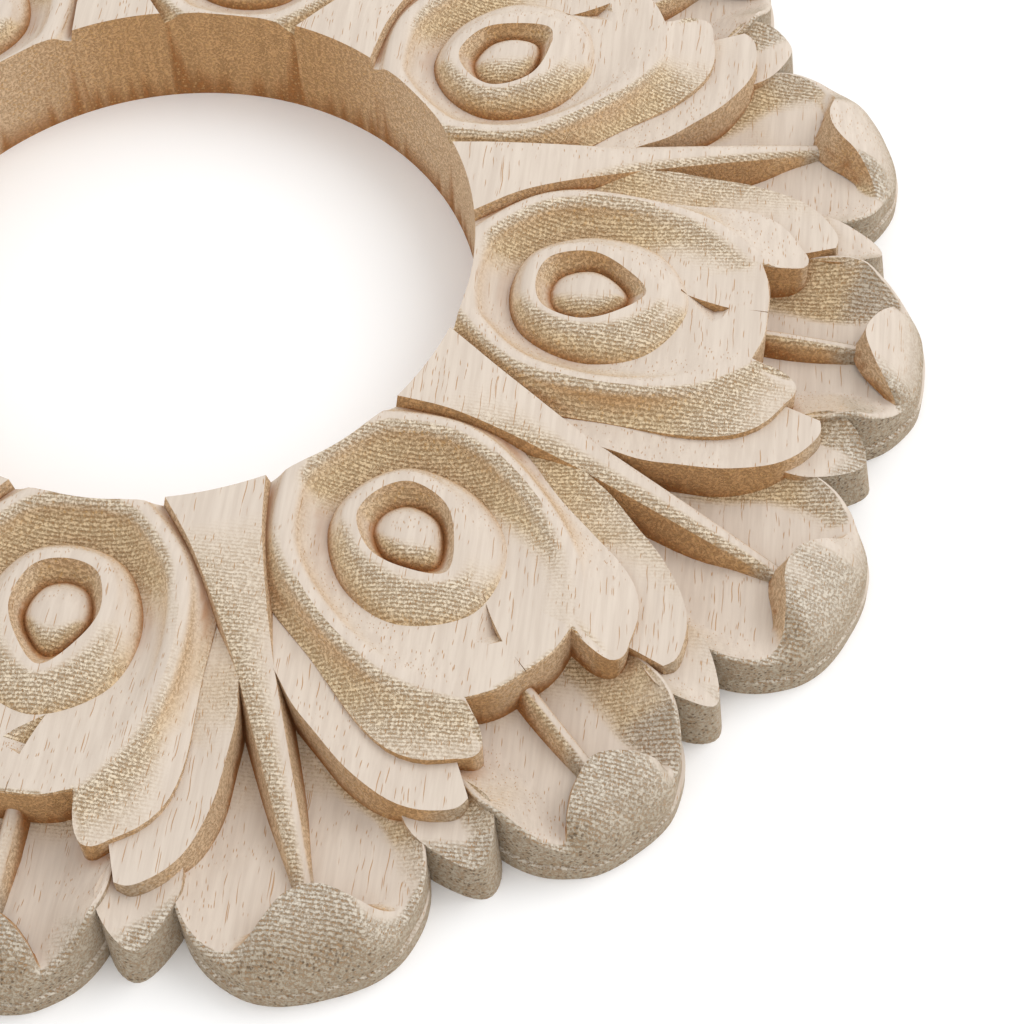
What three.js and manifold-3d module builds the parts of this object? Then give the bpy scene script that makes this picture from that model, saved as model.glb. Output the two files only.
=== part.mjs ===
// Ceiling medallion: a flat-backed ring of pale hardwood, carved from one board.
// Eight raised eyes, each in an oval lobe with two leaves beside it, stand round a plain bore.
// Between the ovals run eight ribs, and a rim of curled leaves and small fillers closes the outside.
// The back lies on z = 0, the bore runs along Z through the origin, and the carving faces +Z.
// Units are millimetres.

import * as THREE from "three";
import Module from "manifold-3d";
import { mergeVertices } from "three/addons/utils/BufferGeometryUtils.js";

const wasm = await Module();
wasm.setup();

// Driving dimensions
const bore_diameter = 81;
const outer_diameter = 201;
const ring_height = 16.2;
const eye_count = 8;
const bore_sides = 64;

// The carving is drawn on a pattern whose bore has a radius of 1 and whose longest leaf ends at
// pattern_reach. A plan point is [across, out], measured from the ring's centre with the motif's
// own axis pointing out. Heights are shares of ring_height.
const pattern_reach = 2.485;
const pattern_eyes = 8;

const bore_radius = bore_diameter / 2;
const outer_radius = outer_diameter / 2;
const pitch = (2 * Math.PI) / eye_count;
const overshoot = 2;
// Leaves are drawn down past the back, which is then planed flat in one cut.
const below = -overshoot / ring_height;

// Lays a pattern point on the ring, in the motif whose axis stands at the given turn.
function place([across, out], height, turn) {
  const reach = (Math.hypot(across, out) - 1) / (pattern_reach - 1);
  const radius = bore_radius + (outer_radius - bore_radius) * reach;
  const angle = turn - Math.atan2(across, out) * (pattern_eyes / eye_count);
  return new THREE.Vector3(radius * Math.cos(angle), radius * Math.sin(angle), height * ring_height);
}

// A smooth line through plan points, as plan points.
function smooth(points, steps) {
  const curve = new THREE.SplineCurve(points.map(([x, y]) => new THREE.Vector2(x, y)));
  return curve.getPoints(steps).map((point) => [point.x, point.y]);
}

// The value at one place of a list of [place, value] steps, straight between them.
function level(steps, at) {
  const last = steps.length - 1;
  const clamped = Math.min(Math.max(at, steps[0][0]), steps[last][0]);
  const index = Math.max(1, steps.findIndex(([place_here]) => place_here >= clamped));
  const [start, low] = steps[index - 1];
  const [end, high] = steps[index];
  return low + ((high - low) * (clamped - start)) / (end - start);
}

// How far out from the bore's centre a plan point lies.
const out_of = (point) => Math.hypot(...point);

// The point or values a share of the way from a to b.
const mix = (a, b, share) => a.map((value, axis) => value + (b[axis] - value) * share);

// A closed solid from loops of points with the same count: each loop is joined to the next, and
// the first and last are capped.
function loft(loops) {
  const count = loops[0].length;
  const triangles = [];
  for (let row = 0; row + 1 < loops.length; row += 1) {
    for (let step = 0; step < count; step += 1) {
      const next = (step + 1) % count;
      const [a, b] = [loops[row][step], loops[row][next]];
      const [c, d] = [loops[row + 1][next], loops[row + 1][step]];
      triangles.push([a, b, c], [a, c, d]);
    }
  }
  triangles.push(...cap(loops[0]).map(([a, b, c]) => [a, c, b]), ...cap(loops.at(-1)));
  return solid(triangles);
}

// Fills one loop. It is flattened along the axis it faces most, and the triangles keep its sense.
function cap(loop) {
  const normal = new THREE.Vector3();
  loop.forEach((point, index) => {
    normal.add(new THREE.Vector3().crossVectors(point, loop[(index + 1) % loop.length]));
  });
  const size = normal.toArray().map(Math.abs);
  const facing = size.indexOf(Math.max(...size));
  const [u, v] = [["y", "z"], ["z", "x"], ["x", "y"]][facing];
  const flat = loop.map((point) => new THREE.Vector2(point[u], point[v]));
  const forward = THREE.ShapeUtils.area(flat) > 0;
  const faces = THREE.ShapeUtils.triangulateShape(flat, []);
  return faces.map(([a, b, c]) => {
    const turned = THREE.ShapeUtils.area([flat[a], flat[b], flat[c]]) > 0 === forward;
    return turned ? [loop[a], loop[b], loop[c]] : [loop[a], loop[c], loop[b]];
  });
}

// A solid from loose triangles, turned so that its faces point outwards.
function solid(triangles) {
  const volume = triangles.reduce((sum, [a, b, c]) => sum + a.dot(b.clone().cross(c)), 0);
  const outward = volume > 0 ? triangles : triangles.map(([a, b, c]) => [a, c, b]);
  const geometry = new THREE.BufferGeometry().setFromPoints(outward.flat());
  return fromGeometry(geometry);
}

function fromGeometry(geometry) {
  geometry.deleteAttribute("normal");
  geometry.deleteAttribute("uv");
  const merged = mergeVertices(geometry, 1e-4);
  const vertProperties = Float32Array.from(merged.attributes.position.array);
  const triVerts = Uint32Array.from(merged.index.array);
  return new wasm.Manifold(new wasm.Mesh({ numProp: 3, vertProperties, triVerts }));
}

// The oval lobe, its eye and its two pairs of leaves are drawn round the eye's centre, and their
// lines are read off along rays from it. Angles are degrees from the motif's axis: first those over
// the lobe's end, then over the leaf's tip beside it, then round the rest of the leaf.
const eye_centre = [0, 1.4];
const end_rays = [0, 11, 19.3];
const tip_rays = [21, 23.5];
const leaf_rays = [27, 37, 53, 72, 96, 125, 155, 180];
const ray_angles = [...end_rays, ...tip_rays, ...leaf_rays];

const oval_side = [
  [0, 0.985], [0.1, 0.993], [0.19, 1.03], [0.328, 1.2], [0.369, 1.45], [0.325, 1.7], [0.187, 1.905],
];
const oval_end = [[0.187, 1.905], [0.1, 1.934], [0, 1.938]];
const oval_line = [...smooth(oval_side, 30), ...smooth(oval_end, 6)];
const boss_line = smooth([[0, 1.12], [0.165, 1.18], [0.25, 1.37], [0.2, 1.58], [0, 1.69]], 24);
const crest_line = smooth([[0, 1.17], [0.12, 1.21], [0.17, 1.37], [0.12, 1.52], [0, 1.6]], 24);
const pit_line = smooth([[0, 1.205], [0.098, 1.24], [0.135, 1.36], [0.09, 1.47], [0, 1.555]], 24);
const moat_line = smooth([[0, 1.25], [0.07, 1.28], [0.1, 1.37], [0.065, 1.45], [0, 1.5]], 24);
const dome_line = smooth([[0, 1.335], [0.04, 1.355], [0.05, 1.39], [0.035, 1.43], [0, 1.445]], 24);

const oval_rim = [[1, 0.985], [1.3, 0.965], [1.6, 0.9], [1.94, 0.812]];
const boss_foot = [[1.1, 0.745], [1.4, 0.735], [1.7, 0.78]];
const boss_crest = [[1.16, 0.94], [1.4, 0.935], [1.62, 0.905]];
const crest_fall = 0.02;
const moat_height = 0.77;
const dome_height = 0.88;

// The plan point where a line crosses the ray at the given angle, furthest from the eye's centre.
function onRay(line, degrees) {
  const angle = THREE.MathUtils.degToRad(degrees);
  const [sin, cos] = [Math.sin(angle), Math.cos(angle)];
  const tiny = 1e-9;
  let reach = 0;
  for (let index = 0; index + 1 < line.length; index += 1) {
    const [ax, ay] = [line[index][0] - eye_centre[0], line[index][1] - eye_centre[1]];
    const [bx, by] = [line[index + 1][0] - eye_centre[0], line[index + 1][1] - eye_centre[1]];
    const before = ax * cos - ay * sin;
    const after = bx * cos - by * sin;
    if (Math.min(before, after) <= tiny && Math.max(before, after) >= -tiny && before !== after) {
      const share = before / (before - after);
      const along = (ax + (bx - ax) * share) * sin + (ay + (by - ay) * share) * cos;
      reach = Math.max(reach, along);
    }
  }
  return [eye_centre[0] + reach * sin, eye_centre[1] + reach * cos];
}

// Closes half a contour with its mirror image and lays it on the ring.
function contour(half, turn) {
  const other_half = half.slice(1, -1).reverse().map(([[x, y], height]) => [[-x, y], height]);
  return [...half, ...other_half].map(([point, height]) => place(point, height, turn));
}

// Half a contour where a line crosses each ray, at the height that its way out gives it.
function ring(line, height) {
  return ray_angles.map((degrees) => {
    const point = onRay(line, degrees);
    return [point, height(point[1])];
  });
}

// The second leaf starts at the oval's rim, so both are one surface. Its edge runs round the whole
// oval: past the leaf's tip it is the oval's own end.
const leaf_two_line = smooth([
  [0, 0.83], [0.15, 0.87], [0.27, 0.98], [0.38, 1.09], [0.45, 1.21], [0.458, 1.34], [0.452, 1.5],
  [0.458, 1.66], [0.459, 1.78], [0.44, 1.885], [0.39, 1.965], [0.311, 2.024],
], 44);
const leaf_two_edge = [[1, 0.85], [1.3, 0.78], [1.6, 0.67], [1.75, 0.65], [2, 0.69], [2.1, 0.71]];
const leaf_two_tip = [[[0.196, 1.965], 0.75], [[0.23, 2.043], 0.71]];
const end_chamfer = 0.015;
const end_outset = 0.004;

function leafTwoEdge() {
  const end = end_rays.map((degrees) => {
    const [x, y] = onRay(oval_line, degrees);
    return [[x, y + end_outset], level(oval_rim, y) - end_chamfer];
  });
  const edge = leaf_rays.map((degrees) => {
    const point = onRay(leaf_two_line, degrees);
    return [point, level(leaf_two_edge, out_of(point))];
  });
  return [...end, ...leaf_two_tip, ...edge];
}

function oval(turn) {
  const outer_edge = leafTwoEdge();
  return loft([
    contour(outer_edge.map(([point]) => [point, below]), turn),
    contour(outer_edge, turn),
    contour(ring(oval_line, (out) => level(oval_rim, out)), turn),
    contour(ring(boss_line, (out) => level(boss_foot, out)), turn),
    contour(ring(crest_line, (out) => level(boss_crest, out) - crest_fall), turn),
    contour(ring(pit_line, (out) => level(boss_crest, out)), turn),
    contour(ring(moat_line, () => moat_height), turn),
    contour(ring(dome_line, () => dome_height), turn),
  ]);
}

// Slim V-shaped wedge cut into the lobe beyond the eye: one flank is a small upright wall, and the
// other slopes down to its foot. Each row gives the place across of the wall, the keel and the
// slope's far edge.
const wedge_run = [
  { out: 1.65, wall: -0.034, across: -0.033, far: -0.03, keel: 0.87 },
  { out: 1.775, wall: -0.01, across: -0.006, far: 0.056, keel: 0.7 },
  { out: 1.85, wall: 0.003, across: 0.006, far: 0.01, keel: 0.81 },
];
const wedge_top = 1.1;

function wedge(turn) {
  const sections = wedge_run.map(({ out, wall, across, far, keel }) => {
    const rise = (wedge_top - keel) / (level(oval_rim, out) - keel);
    const section = [[wall, wedge_top], [across, keel], [across + (far - across) * rise, wedge_top]];
    return section.map(([x, height]) => place([x, out], height, turn));
  });
  return loft(sections);
}

// The third leaf is a strip between its outer line and a hidden line under the second leaf.
const leaf_three_line = smooth([
  [0.5, 1.17], [0.536, 1.29], [0.553, 1.416], [0.564, 1.51], [0.577, 1.6], [0.574, 1.711],
  [0.567, 1.85], [0.535, 1.985], [0.49, 2.065], [0.43, 2.118], [0.385, 2.14], [0.345, 2.135],
], 36);
const leaf_three_angles = [97, 79, 61, 45, 33];
const leaf_three_tip = { inner: [0.318, 2.06], outer: [0.35, 2.138] };
const leaf_three_edge = [[1.3, 0.84], [1.56, 0.765], [1.75, 0.69], [1.95, 0.66], [2.15, 0.64]];
const leaf_three_step = [[1.3, 0.02], [1.6, 0.01], [1.75, 0.035], [2.1, 0.08]];

const under_leaf_two = 0.7;
const leaf_three_draft = 0.2;
function leafThree(side, turn) {
  const sections = leaf_three_angles.map((degrees) => {
    const lying_on = onRay(leaf_two_line, degrees);
    const step_down = level(leaf_three_step, out_of(lying_on));
    const inner_height = level(leaf_two_edge, out_of(lying_on)) - step_down;
    return { inner: lying_on, outer: onRay(leaf_three_line, degrees), inner_height };
  });
  const { inner, outer } = leaf_three_tip;
  sections.push({ inner, outer, inner_height: level(leaf_three_edge, out_of(outer)) });
  return loft(sections.map(({ inner, outer, inner_height }) => {
    const hidden = mix(inner, outer, -under_leaf_two);
    const section = [
      [mix(inner, outer, 1 + leaf_three_draft), below],
      [outer, level(leaf_three_edge, out_of(outer))],
      [hidden, inner_height],
      [hidden, below],
    ];
    return section.map(([[x, y], height]) => place([x * side, y], height, turn));
  }));
}

// Stem between two ovals: a broad flat at the bore that narrows to a round-backed rib. The crown is
// how far the edges lie below the middle.
const stem_run = [
  { out: 0.94, half_width: 0.165, height: 1, crown: 0.004 },
  { out: 1.17, half_width: 0.105, height: 0.98, crown: 0.006 },
  { out: 1.33, half_width: 0.08, height: 0.915, crown: 0.015 },
  { out: 1.55, half_width: 0.056, height: 0.8, crown: 0.04 },
  { out: 1.95, half_width: 0.04, height: 0.585, crown: 0.06 },
  { out: 2.25, half_width: 0.026, height: 0.4, crown: 0.06 },
];
const stem_draft = 0.1;

function stem(turn) {
  const sections = stem_run.map(({ out, half_width, height, crown }) => {
    const foot = half_width + stem_draft * height;
    const section = [
      [-foot, below],
      [-half_width, height - crown],
      [0, height],
      [half_width, height - crown],
      [foot, below],
    ];
    return section.map(([across, level_here]) => place([across, out], level_here, turn));
  });
  return loft(sections);
}

// Base leaves with a curled lip, as contour lines from the floor up over the lip into the dished
// middle. Each row lists half a contour, from the hidden root to the tip on the axis, with heights.
const stem_leaf = {
  floor: [[0.06, 1.5], [0.3, 1.93], [0.355, 2.12], [0.352, 2.23], [0.325, 2.315], [0.28, 2.385],
    [0.22, 2.435], [0.15, 2.468], [0.075, 2.482], [0, 2.485]],
  shoulder: [[0.06, 1.5], [0.3, 1.93], [0.35, 2.12], [0.347, 2.225], [0.315, 2.305], [0.268, 2.36],
    [0.213, 2.42], [0.145, 2.452], [0.072, 2.466], [0, 2.468]],
  shoulder_height: [0.42, 0.42, 0.475, 0.445, 0.385, 0.34, 0.28, 0.27, 0.26, 0.26],
  crest: [[0.055, 1.52], [0.29, 1.94], [0.343, 2.12], [0.339, 2.22], [0.302, 2.295], [0.247, 2.335],
    [0.19, 2.338], [0.12, 2.305], [0.06, 2.268], [0, 2.255]],
  crest_height: [0.44, 0.44, 0.49, 0.46, 0.4, 0.36, 0.47, 0.64, 0.705, 0.715],
  foot: [[0.04, 1.58], [0.17, 1.93], [0.25, 2.1], [0.25, 2.19], [0.24, 2.245], [0.215, 2.285],
    [0.17, 2.295], [0.12, 2.268], [0.06, 2.225], [0, 2.205]],
  foot_height: [0.42, 0.3, 0.34, 0.35, 0.355, 0.35, 0.35, 0.355, 0.35, 0.36],
};
const eye_leaf = {
  floor: [[0.16, 1.8], [0.3, 1.95], [0.335, 2.12], [0.331, 2.22], [0.305, 2.3], [0.262, 2.367],
    [0.205, 2.415], [0.14, 2.449], [0.07, 2.465], [0, 2.468]],
  shoulder: [[0.16, 1.8], [0.3, 1.95], [0.327, 2.12], [0.312, 2.222], [0.285, 2.29], [0.247, 2.345],
    [0.195, 2.392], [0.135, 2.434], [0.068, 2.448], [0, 2.45]],
  shoulder_height: [0.44, 0.49, 0.59, 0.63, 0.53, 0.43, 0.35, 0.28, 0.27, 0.27],
  crest: [[0.15, 1.81], [0.29, 1.96], [0.318, 2.12], [0.3, 2.222], [0.272, 2.283], [0.236, 2.333],
    [0.184, 2.368], [0.152, 2.333], [0.085, 2.282], [0, 2.25]],
  crest_height: [0.45, 0.5, 0.6, 0.65, 0.55, 0.45, 0.39, 0.56, 0.67, 0.71],
  foot: [[0.12, 1.83], [0.16, 1.96], [0.15, 2.08], [0.145, 2.17], [0.15, 2.24], [0.155, 2.29],
    [0.155, 2.328], [0.125, 2.295], [0.07, 2.247], [0, 2.22]],
  foot_height: [0.42, 0.36, 0.345, 0.355, 0.365, 0.37, 0.375, 0.395, 0.4, 0.41],
};

function curledLeaf(rows, turn) {
  const row = (points, heights) => {
    const half = points.map((point, index) => [point, heights[index]]);
    const other_half = half.slice(0, -1).reverse().map(([[x, y], height]) => [[-x, y], height]);
    return [...half, ...other_half].map(([point, height]) => place(point, height, turn));
  };
  return loft([
    row(rows.floor, rows.floor.map(() => below)),
    row(rows.shoulder, rows.shoulder_height),
    row(rows.crest, rows.crest_height),
    row(rows.foot, rows.foot_height),
  ]);
}

// Short midrib in the dish of the eye's base leaf.
const midrib_run = [[1.85, 0.55], [1.955, 0.545], [2.1, 0.51], [2.24, 0.47]];
const midrib_half_width = 0.018;
const midrib_foot = 0.05;
const midrib_fall = 0.02;
const midrib_depth = 0.35;

function midrib(turn) {
  const sections = midrib_run.map(([out, height]) => {
    const section = [
      [-midrib_foot, height - midrib_depth],
      [-midrib_half_width, height - midrib_fall],
      [midrib_half_width, height - midrib_fall],
      [midrib_foot, height - midrib_depth],
    ];
    return section.map(([across, level_here]) => place([across, out], level_here, turn));
  });
  return loft(sections);
}

// Small pointed filler between two base leaves. Its top is level with the leaf's edge beside the
// eye and falls away from it.
const filler_floor = [
  [0.33, 2.0], [0.3, 2.18], [0.343, 2.285], [0.413, 2.325], [0.475, 2.265], [0.53, 2.12], [0.5, 2.0],
];
const filler_line = [
  [0.33, 2.0], [0.297, 2.16], [0.343, 2.25], [0.417, 2.29], [0.47, 2.24], [0.52, 2.11], [0.5, 2.0],
];
const filler_edge_height = [0.5, 0.62, 0.56, 0.41, 0.43, 0.5, 0.5];
const filler_middle = { point: [0.41, 2.2], height: 0.475, share: 0.6 };

function filler(side, turn) {
  const { point, height, share } = filler_middle;
  const laid = ([x, y], level_here) => place([x * side, y], level_here, turn);
  return loft([
    filler_floor.map((plan) => laid(plan, below)),
    filler_line.map((plan, index) => laid(plan, filler_edge_height[index])),
    filler_line.map((plan, index) => {
      const sunk = mix([filler_edge_height[index]], [height], share)[0];
      return laid(mix(plan, point, share), sunk);
    }),
  ]);
}

// Web of wood under the leaves, from inside the bore's line to under the base leaves.
const web_height = 0.26;
const web_reach = 2.2;
const web_sides = 32;

function web() {
  const outer = place([0, web_reach], 0, 0).x;
  const inner = bore_radius - overshoot;
  const top = web_height * ring_height;
  const corners = [[inner, -overshoot], [outer, -overshoot], [outer, top], [inner, top]];
  const profile = [...corners, corners[0]].map(([x, y]) => new THREE.Vector2(x, y));
  return fromGeometry(new THREE.LatheGeometry(profile, web_sides).rotateX(Math.PI / 2));
}

// Everything below the back plane.
function planedOff() {
  const span = 2 * (outer_radius + overshoot);
  return fromGeometry(new THREE.BoxGeometry(span, span, ring_height).translate(0, 0, -ring_height / 2));
}

function bore() {
  const length = ring_height + 2 * overshoot;
  const geometry = new THREE.CylinderGeometry(bore_radius, bore_radius, length, bore_sides);
  return fromGeometry(geometry.rotateX(Math.PI / 2).translate(0, 0, ring_height / 2));
}

function carvedRing() {
  const raised = [web()];
  const cut = [bore(), planedOff()];
  for (let index = 0; index < eye_count; index += 1) {
    const turn = index * pitch;
    const stem_turn = turn + pitch / 2;
    raised.push(oval(turn), curledLeaf(eye_leaf, turn), midrib(turn));
    raised.push(curledLeaf(stem_leaf, stem_turn), stem(stem_turn));
    for (const side of [1, -1]) {
      raised.push(leafThree(side, turn), filler(side, turn));
    }
    cut.push(wedge(turn));
  }
  // Slivers of air closed in between leaves come apart from the ring itself, which is the largest.
  const body = wasm.Manifold.union(raised).subtract(wasm.Manifold.union(cut));
  const [ring_alone] = body.decompose().sort((a, b) => b.volume() - a.volume());
  return toGeometry(ring_alone);
}

function toGeometry(body) {
  const mesh = body.getMesh();
  const geometry = new THREE.BufferGeometry();
  geometry.setAttribute("position", new THREE.BufferAttribute(mesh.vertProperties, 3));
  geometry.setIndex(new THREE.BufferAttribute(mesh.triVerts, 1));
  geometry.computeVertexNormals();
  return geometry;
}

const pale_hardwood = new THREE.MeshStandardMaterial({ color: 0xd9c3a8, roughness: 0.85, metalness: 0 });

const medallion = new THREE.Group();
medallion.name = "ceiling_medallion";
const carved_ring = new THREE.Mesh(carvedRing(), pale_hardwood);
carved_ring.name = "carved_ring";
medallion.add(carved_ring);

export default medallion;
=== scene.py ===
import math

import bpy
import numpy as np
from mathutils import Matrix, Vector


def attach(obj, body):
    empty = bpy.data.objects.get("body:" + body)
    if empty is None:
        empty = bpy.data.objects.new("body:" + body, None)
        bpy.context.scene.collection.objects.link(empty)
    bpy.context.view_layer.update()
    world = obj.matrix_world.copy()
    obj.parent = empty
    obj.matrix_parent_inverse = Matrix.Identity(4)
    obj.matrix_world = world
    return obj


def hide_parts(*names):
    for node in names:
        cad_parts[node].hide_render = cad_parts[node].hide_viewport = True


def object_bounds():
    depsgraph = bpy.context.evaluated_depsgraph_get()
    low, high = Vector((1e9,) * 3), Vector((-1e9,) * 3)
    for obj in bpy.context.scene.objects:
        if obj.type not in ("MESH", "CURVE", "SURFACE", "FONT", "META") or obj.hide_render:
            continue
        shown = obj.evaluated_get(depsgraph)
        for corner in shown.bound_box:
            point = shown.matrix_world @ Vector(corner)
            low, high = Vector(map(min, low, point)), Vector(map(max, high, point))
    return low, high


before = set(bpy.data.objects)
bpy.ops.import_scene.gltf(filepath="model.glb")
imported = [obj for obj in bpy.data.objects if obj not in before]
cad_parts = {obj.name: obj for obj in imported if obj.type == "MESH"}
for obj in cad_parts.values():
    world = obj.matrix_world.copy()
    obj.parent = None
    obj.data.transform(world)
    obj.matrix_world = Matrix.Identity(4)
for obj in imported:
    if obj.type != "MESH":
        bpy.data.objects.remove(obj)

cad_low, cad_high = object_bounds()

# Camera: looks down at the ring at about 57 degrees, with one stem pointing straight at it. Its place
# and turn were fitted to the ring's eightfold symmetry.
camera_place = (0.0725, 0.1831, 0.2414)
camera_right = (-0.80327, 0.59511, -0.02444)
camera_up = (-0.50924, -0.66493, 0.54639)
camera_back = (0.30891, 0.45135, 0.83717)
camera_data = bpy.data.cameras.new("camera")
camera_data.lens = 79.92
camera_data.sensor_width = 36.0
camera_data.clip_start = 0.01
camera_data.clip_end = 20.0
camera = bpy.data.objects.new("camera", camera_data)
turned = Matrix((camera_right, camera_up, camera_back)).transposed()
camera.matrix_world = Matrix.Translation(camera_place) @ turned.to_4x4()
bpy.context.scene.collection.objects.link(camera)
bpy.context.scene.camera = camera

# The carved ring: one board of pale rubberwood, flat on its back, with a plain round bore. A machine
# carves it from the front in one setting. The pattern below is drawn for a bore of radius 1: a point
# is (across, out, height), with out along the motif's own axis and height as a share of the board's.
bore_radius = 0.0405
outer_radius = 0.1005
ring_height = 0.0162
pattern_reach = 2.485
eye_count = 8
pitch = 2 * math.pi / eye_count
planed_off = 0.002
below = -planed_off / ring_height


def place(points, turn=0.0):
    """Lays pattern points on the ring. The distance from the centre runs evenly from the bore's
    radius at 1 to the outer radius at pattern_reach, and the direction is the motif's turn."""
    across, out, height = np.moveaxis(np.asarray(points, float), -1, 0)
    share = (np.hypot(across, out) - 1) / (pattern_reach - 1)
    radius = bore_radius + (outer_radius - bore_radius) * share
    angle = turn - np.arctan2(across, out)
    return np.stack([radius * np.cos(angle), radius * np.sin(angle), height * ring_height], -1)


def through(points, count, starts_on_axis=False, ends_on_axis=False):
    """A smooth curve through points: on each span a cubic whose slope at a point is half the step
    between its neighbours. On the axis, the neighbour is the mirror image of the last point."""
    points = np.asarray(points, float)
    mirror = np.ones(points.shape[-1])
    mirror[0] = -1
    first = points[1] * mirror if starts_on_axis else points[0]
    last = points[-2] * mirror if ends_on_axis else points[-1]
    padded = np.concatenate([first[None], points, last[None]])
    along = np.linspace(0, len(points) - 1, count)
    span = np.minimum(along.astype(int), len(points) - 2)
    t = (along - span)[:, None]
    before, start, end, after = (padded[span + step] for step in range(4))
    slope_in = (end - before) / 2
    slope_out = (after - start) / 2
    cubic = 2 * start - 2 * end + slope_in + slope_out
    square = 3 * end - 3 * start - 2 * slope_in - slope_out
    return ((cubic * t + square) * t + slope_in) * t + start


def with_height(plan, height):
    """Plan points and heights put together as pattern points."""
    return np.concatenate([plan, np.broadcast_to(height, plan.shape[:-1])[..., None]], -1)


def sweep(keys, spans):
    """Rows of points from one key line to the next. Each span has a count of rows and a bend: the
    plan share and the height share are mixed from a straight line and a quarter of an ellipse,
    which with a bend above 0 leaves steeply and arrives level, and below 0 the other way round."""
    rows = [keys[0][None]]
    for start, end, (count, bend) in zip(keys, keys[1:], spans):
        t = (np.arange(1, count + 1) / count)[:, None]
        level_in = 1 - np.cos(t * np.pi / 2)
        level_out = np.sin(t * np.pi / 2)
        plan_arc, height_arc = (level_in, level_out) if bend > 0 else (level_out, level_in)
        plan_share = t + abs(bend) * (plan_arc - t)
        height_share = t + abs(bend) * (height_arc - t)
        share = np.concatenate([plan_share, plan_share, height_share], -1)[:, None, :]
        rows.append(start + (end - start) * share)
    return np.concatenate(rows)


def both_halves(rows, on_axis_start=False):
    """Adds the mirror image of half a contour, so that each row closes round the motif's axis."""
    other = rows[:, -2:0:-1] if on_axis_start else rows[:, -2::-1]
    return np.concatenate([rows, other * np.array([-1.0, 1.0, 1.0])], 1)


def solid(rows, zipped=False, turn=0.0):
    """A closed solid from rows of pattern points that close on themselves: quads join each row to
    the next, the first row is one face, and the last is one face or is zipped across the axis."""
    row_count, count = rows.shape[:2]
    step = np.arange(count)
    after = (step + 1) % count
    first = (np.arange(row_count - 1) * count)[:, None]
    quads = np.stack([first + step, first + after, first + count + after, first + count + step], -1)
    faces = quads.reshape(-1, 4).tolist()
    faces.append(step[::-1].tolist())
    top = (row_count - 1) * count
    if zipped:
        half = count // 2
        near = np.arange(half - 1)
        ladder = np.stack([near, near + 1, count - 2 - near, count - 1 - near], -1) + top
        faces += ladder.tolist()
        faces.append([top + half - 1, top + half, top + half + 1])
    else:
        faces.append((top + step).tolist())
    return made(place(rows, turn).reshape(-1, 3), faces)


def made(points, faces):
    """An object whose mesh has its faces turned outwards."""
    mesh = bpy.data.meshes.new("carving")
    mesh.from_pydata(np.asarray(points).tolist(), [], faces)
    corners = np.asarray(points)
    mesh.calc_loop_triangles()
    triangles = np.empty(len(mesh.loop_triangles) * 3, np.int32)
    mesh.loop_triangles.foreach_get("vertices", triangles)
    a, b, c = corners[triangles.reshape(-1, 3)].transpose(1, 0, 2)
    if np.einsum("ij,ij->i", a, np.cross(b, c)).sum() < 0:
        mesh.flip_normals()
    made_object = bpy.data.objects.new("carving", mesh)
    bpy.context.scene.collection.objects.link(made_object)
    return made_object


# Eye lobe: an oval rim stands round a hollow, in which a teardrop boss holds a pit and a dome. Past
# the boss the hollow rises to a broad level lobe with a short wall at its end. Outside the rim the
# second leaf falls away to its own edge, so lobe and leaf are one surface, read off round the eye.
eye = np.array([0.0, 1.4])
oval_side = [
    [0, 0.985], [0.1, 0.993], [0.19, 1.03], [0.328, 1.2], [0.369, 1.45], [0.325, 1.7],
    [0.187, 1.905],
]
oval_end = [[0.187, 1.905], [0.1, 1.934], [0, 1.938]]
boss_line = [[0, 1.12], [0.165, 1.18], [0.25, 1.37], [0.2, 1.58], [0, 1.69]]
crest_line = [[0, 1.17], [0.12, 1.21], [0.17, 1.37], [0.12, 1.52], [0, 1.6]]
pit_line = [[0, 1.205], [0.098, 1.24], [0.135, 1.36], [0.09, 1.47], [0, 1.555]]
moat_line = [[0, 1.25], [0.07, 1.28], [0.1, 1.37], [0.065, 1.45], [0, 1.5]]
dome_line = [[0, 1.335], [0.04, 1.355], [0.05, 1.39], [0.035, 1.43], [0, 1.445]]
leaf_two_line = [
    [0, 0.83], [0.15, 0.87], [0.27, 0.98], [0.38, 1.09], [0.45, 1.21], [0.458, 1.34], [0.452, 1.5],
    [0.458, 1.66], [0.459, 1.78], [0.44, 1.885], [0.39, 1.965], [0.311, 2.024],
]
leaf_two_tip = [[0.311, 2.024], [0.27, 2.05], [0.231, 2.044], [0.203, 1.995], [0.187, 1.905]]

oval_rim = ([1, 1.3, 1.6, 1.94], [0.985, 0.965, 0.9, 0.812])
boss_foot = ([1.1, 1.4, 1.7], [0.745, 0.735, 0.78])
boss_crest = ([1.16, 1.4, 1.62], [0.94, 0.935, 0.905])
leaf_two_edge = ([1, 1.3, 1.6, 1.75, 2.0, 2.1], [0.85, 0.78, 0.67, 0.65, 0.69, 0.71])
leaf_two_tip_edge = ([0, 4, 9], [0.79, 0.715, 0.7])
moat_height = 0.77
dome_height = 0.88
dome_rise = 0.012
dome_middle = 1.39
dome_cap = 0.1
crest_fall = 0.02
lobe_overhang = 0.004
lobe_edge_fall = 0.015
outer_round = 0.03
inner_round = 0.035
crest_round = 0.02
lobe_end_ray = 20.3
tip_end_ray = 26.1

dense = 400
oval_flank = through(oval_side, dense, starts_on_axis=True)
oval_line = np.concatenate([oval_flank, through(oval_end, dense, ends_on_axis=True)[1:]])


def on_rays(line, degrees):
    """Where a line crosses rays from the eye's centre, at angles counted from the motif's axis."""
    across, out = (np.asarray(line) - eye).T
    angle = np.degrees(np.arctan2(across, out))
    order = np.argsort(angle)
    reach = np.interp(degrees, angle[order], np.hypot(across, out)[order])
    radians = np.radians(degrees)
    return eye + reach[:, None] * np.stack([np.sin(radians), np.cos(radians)], -1)


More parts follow.
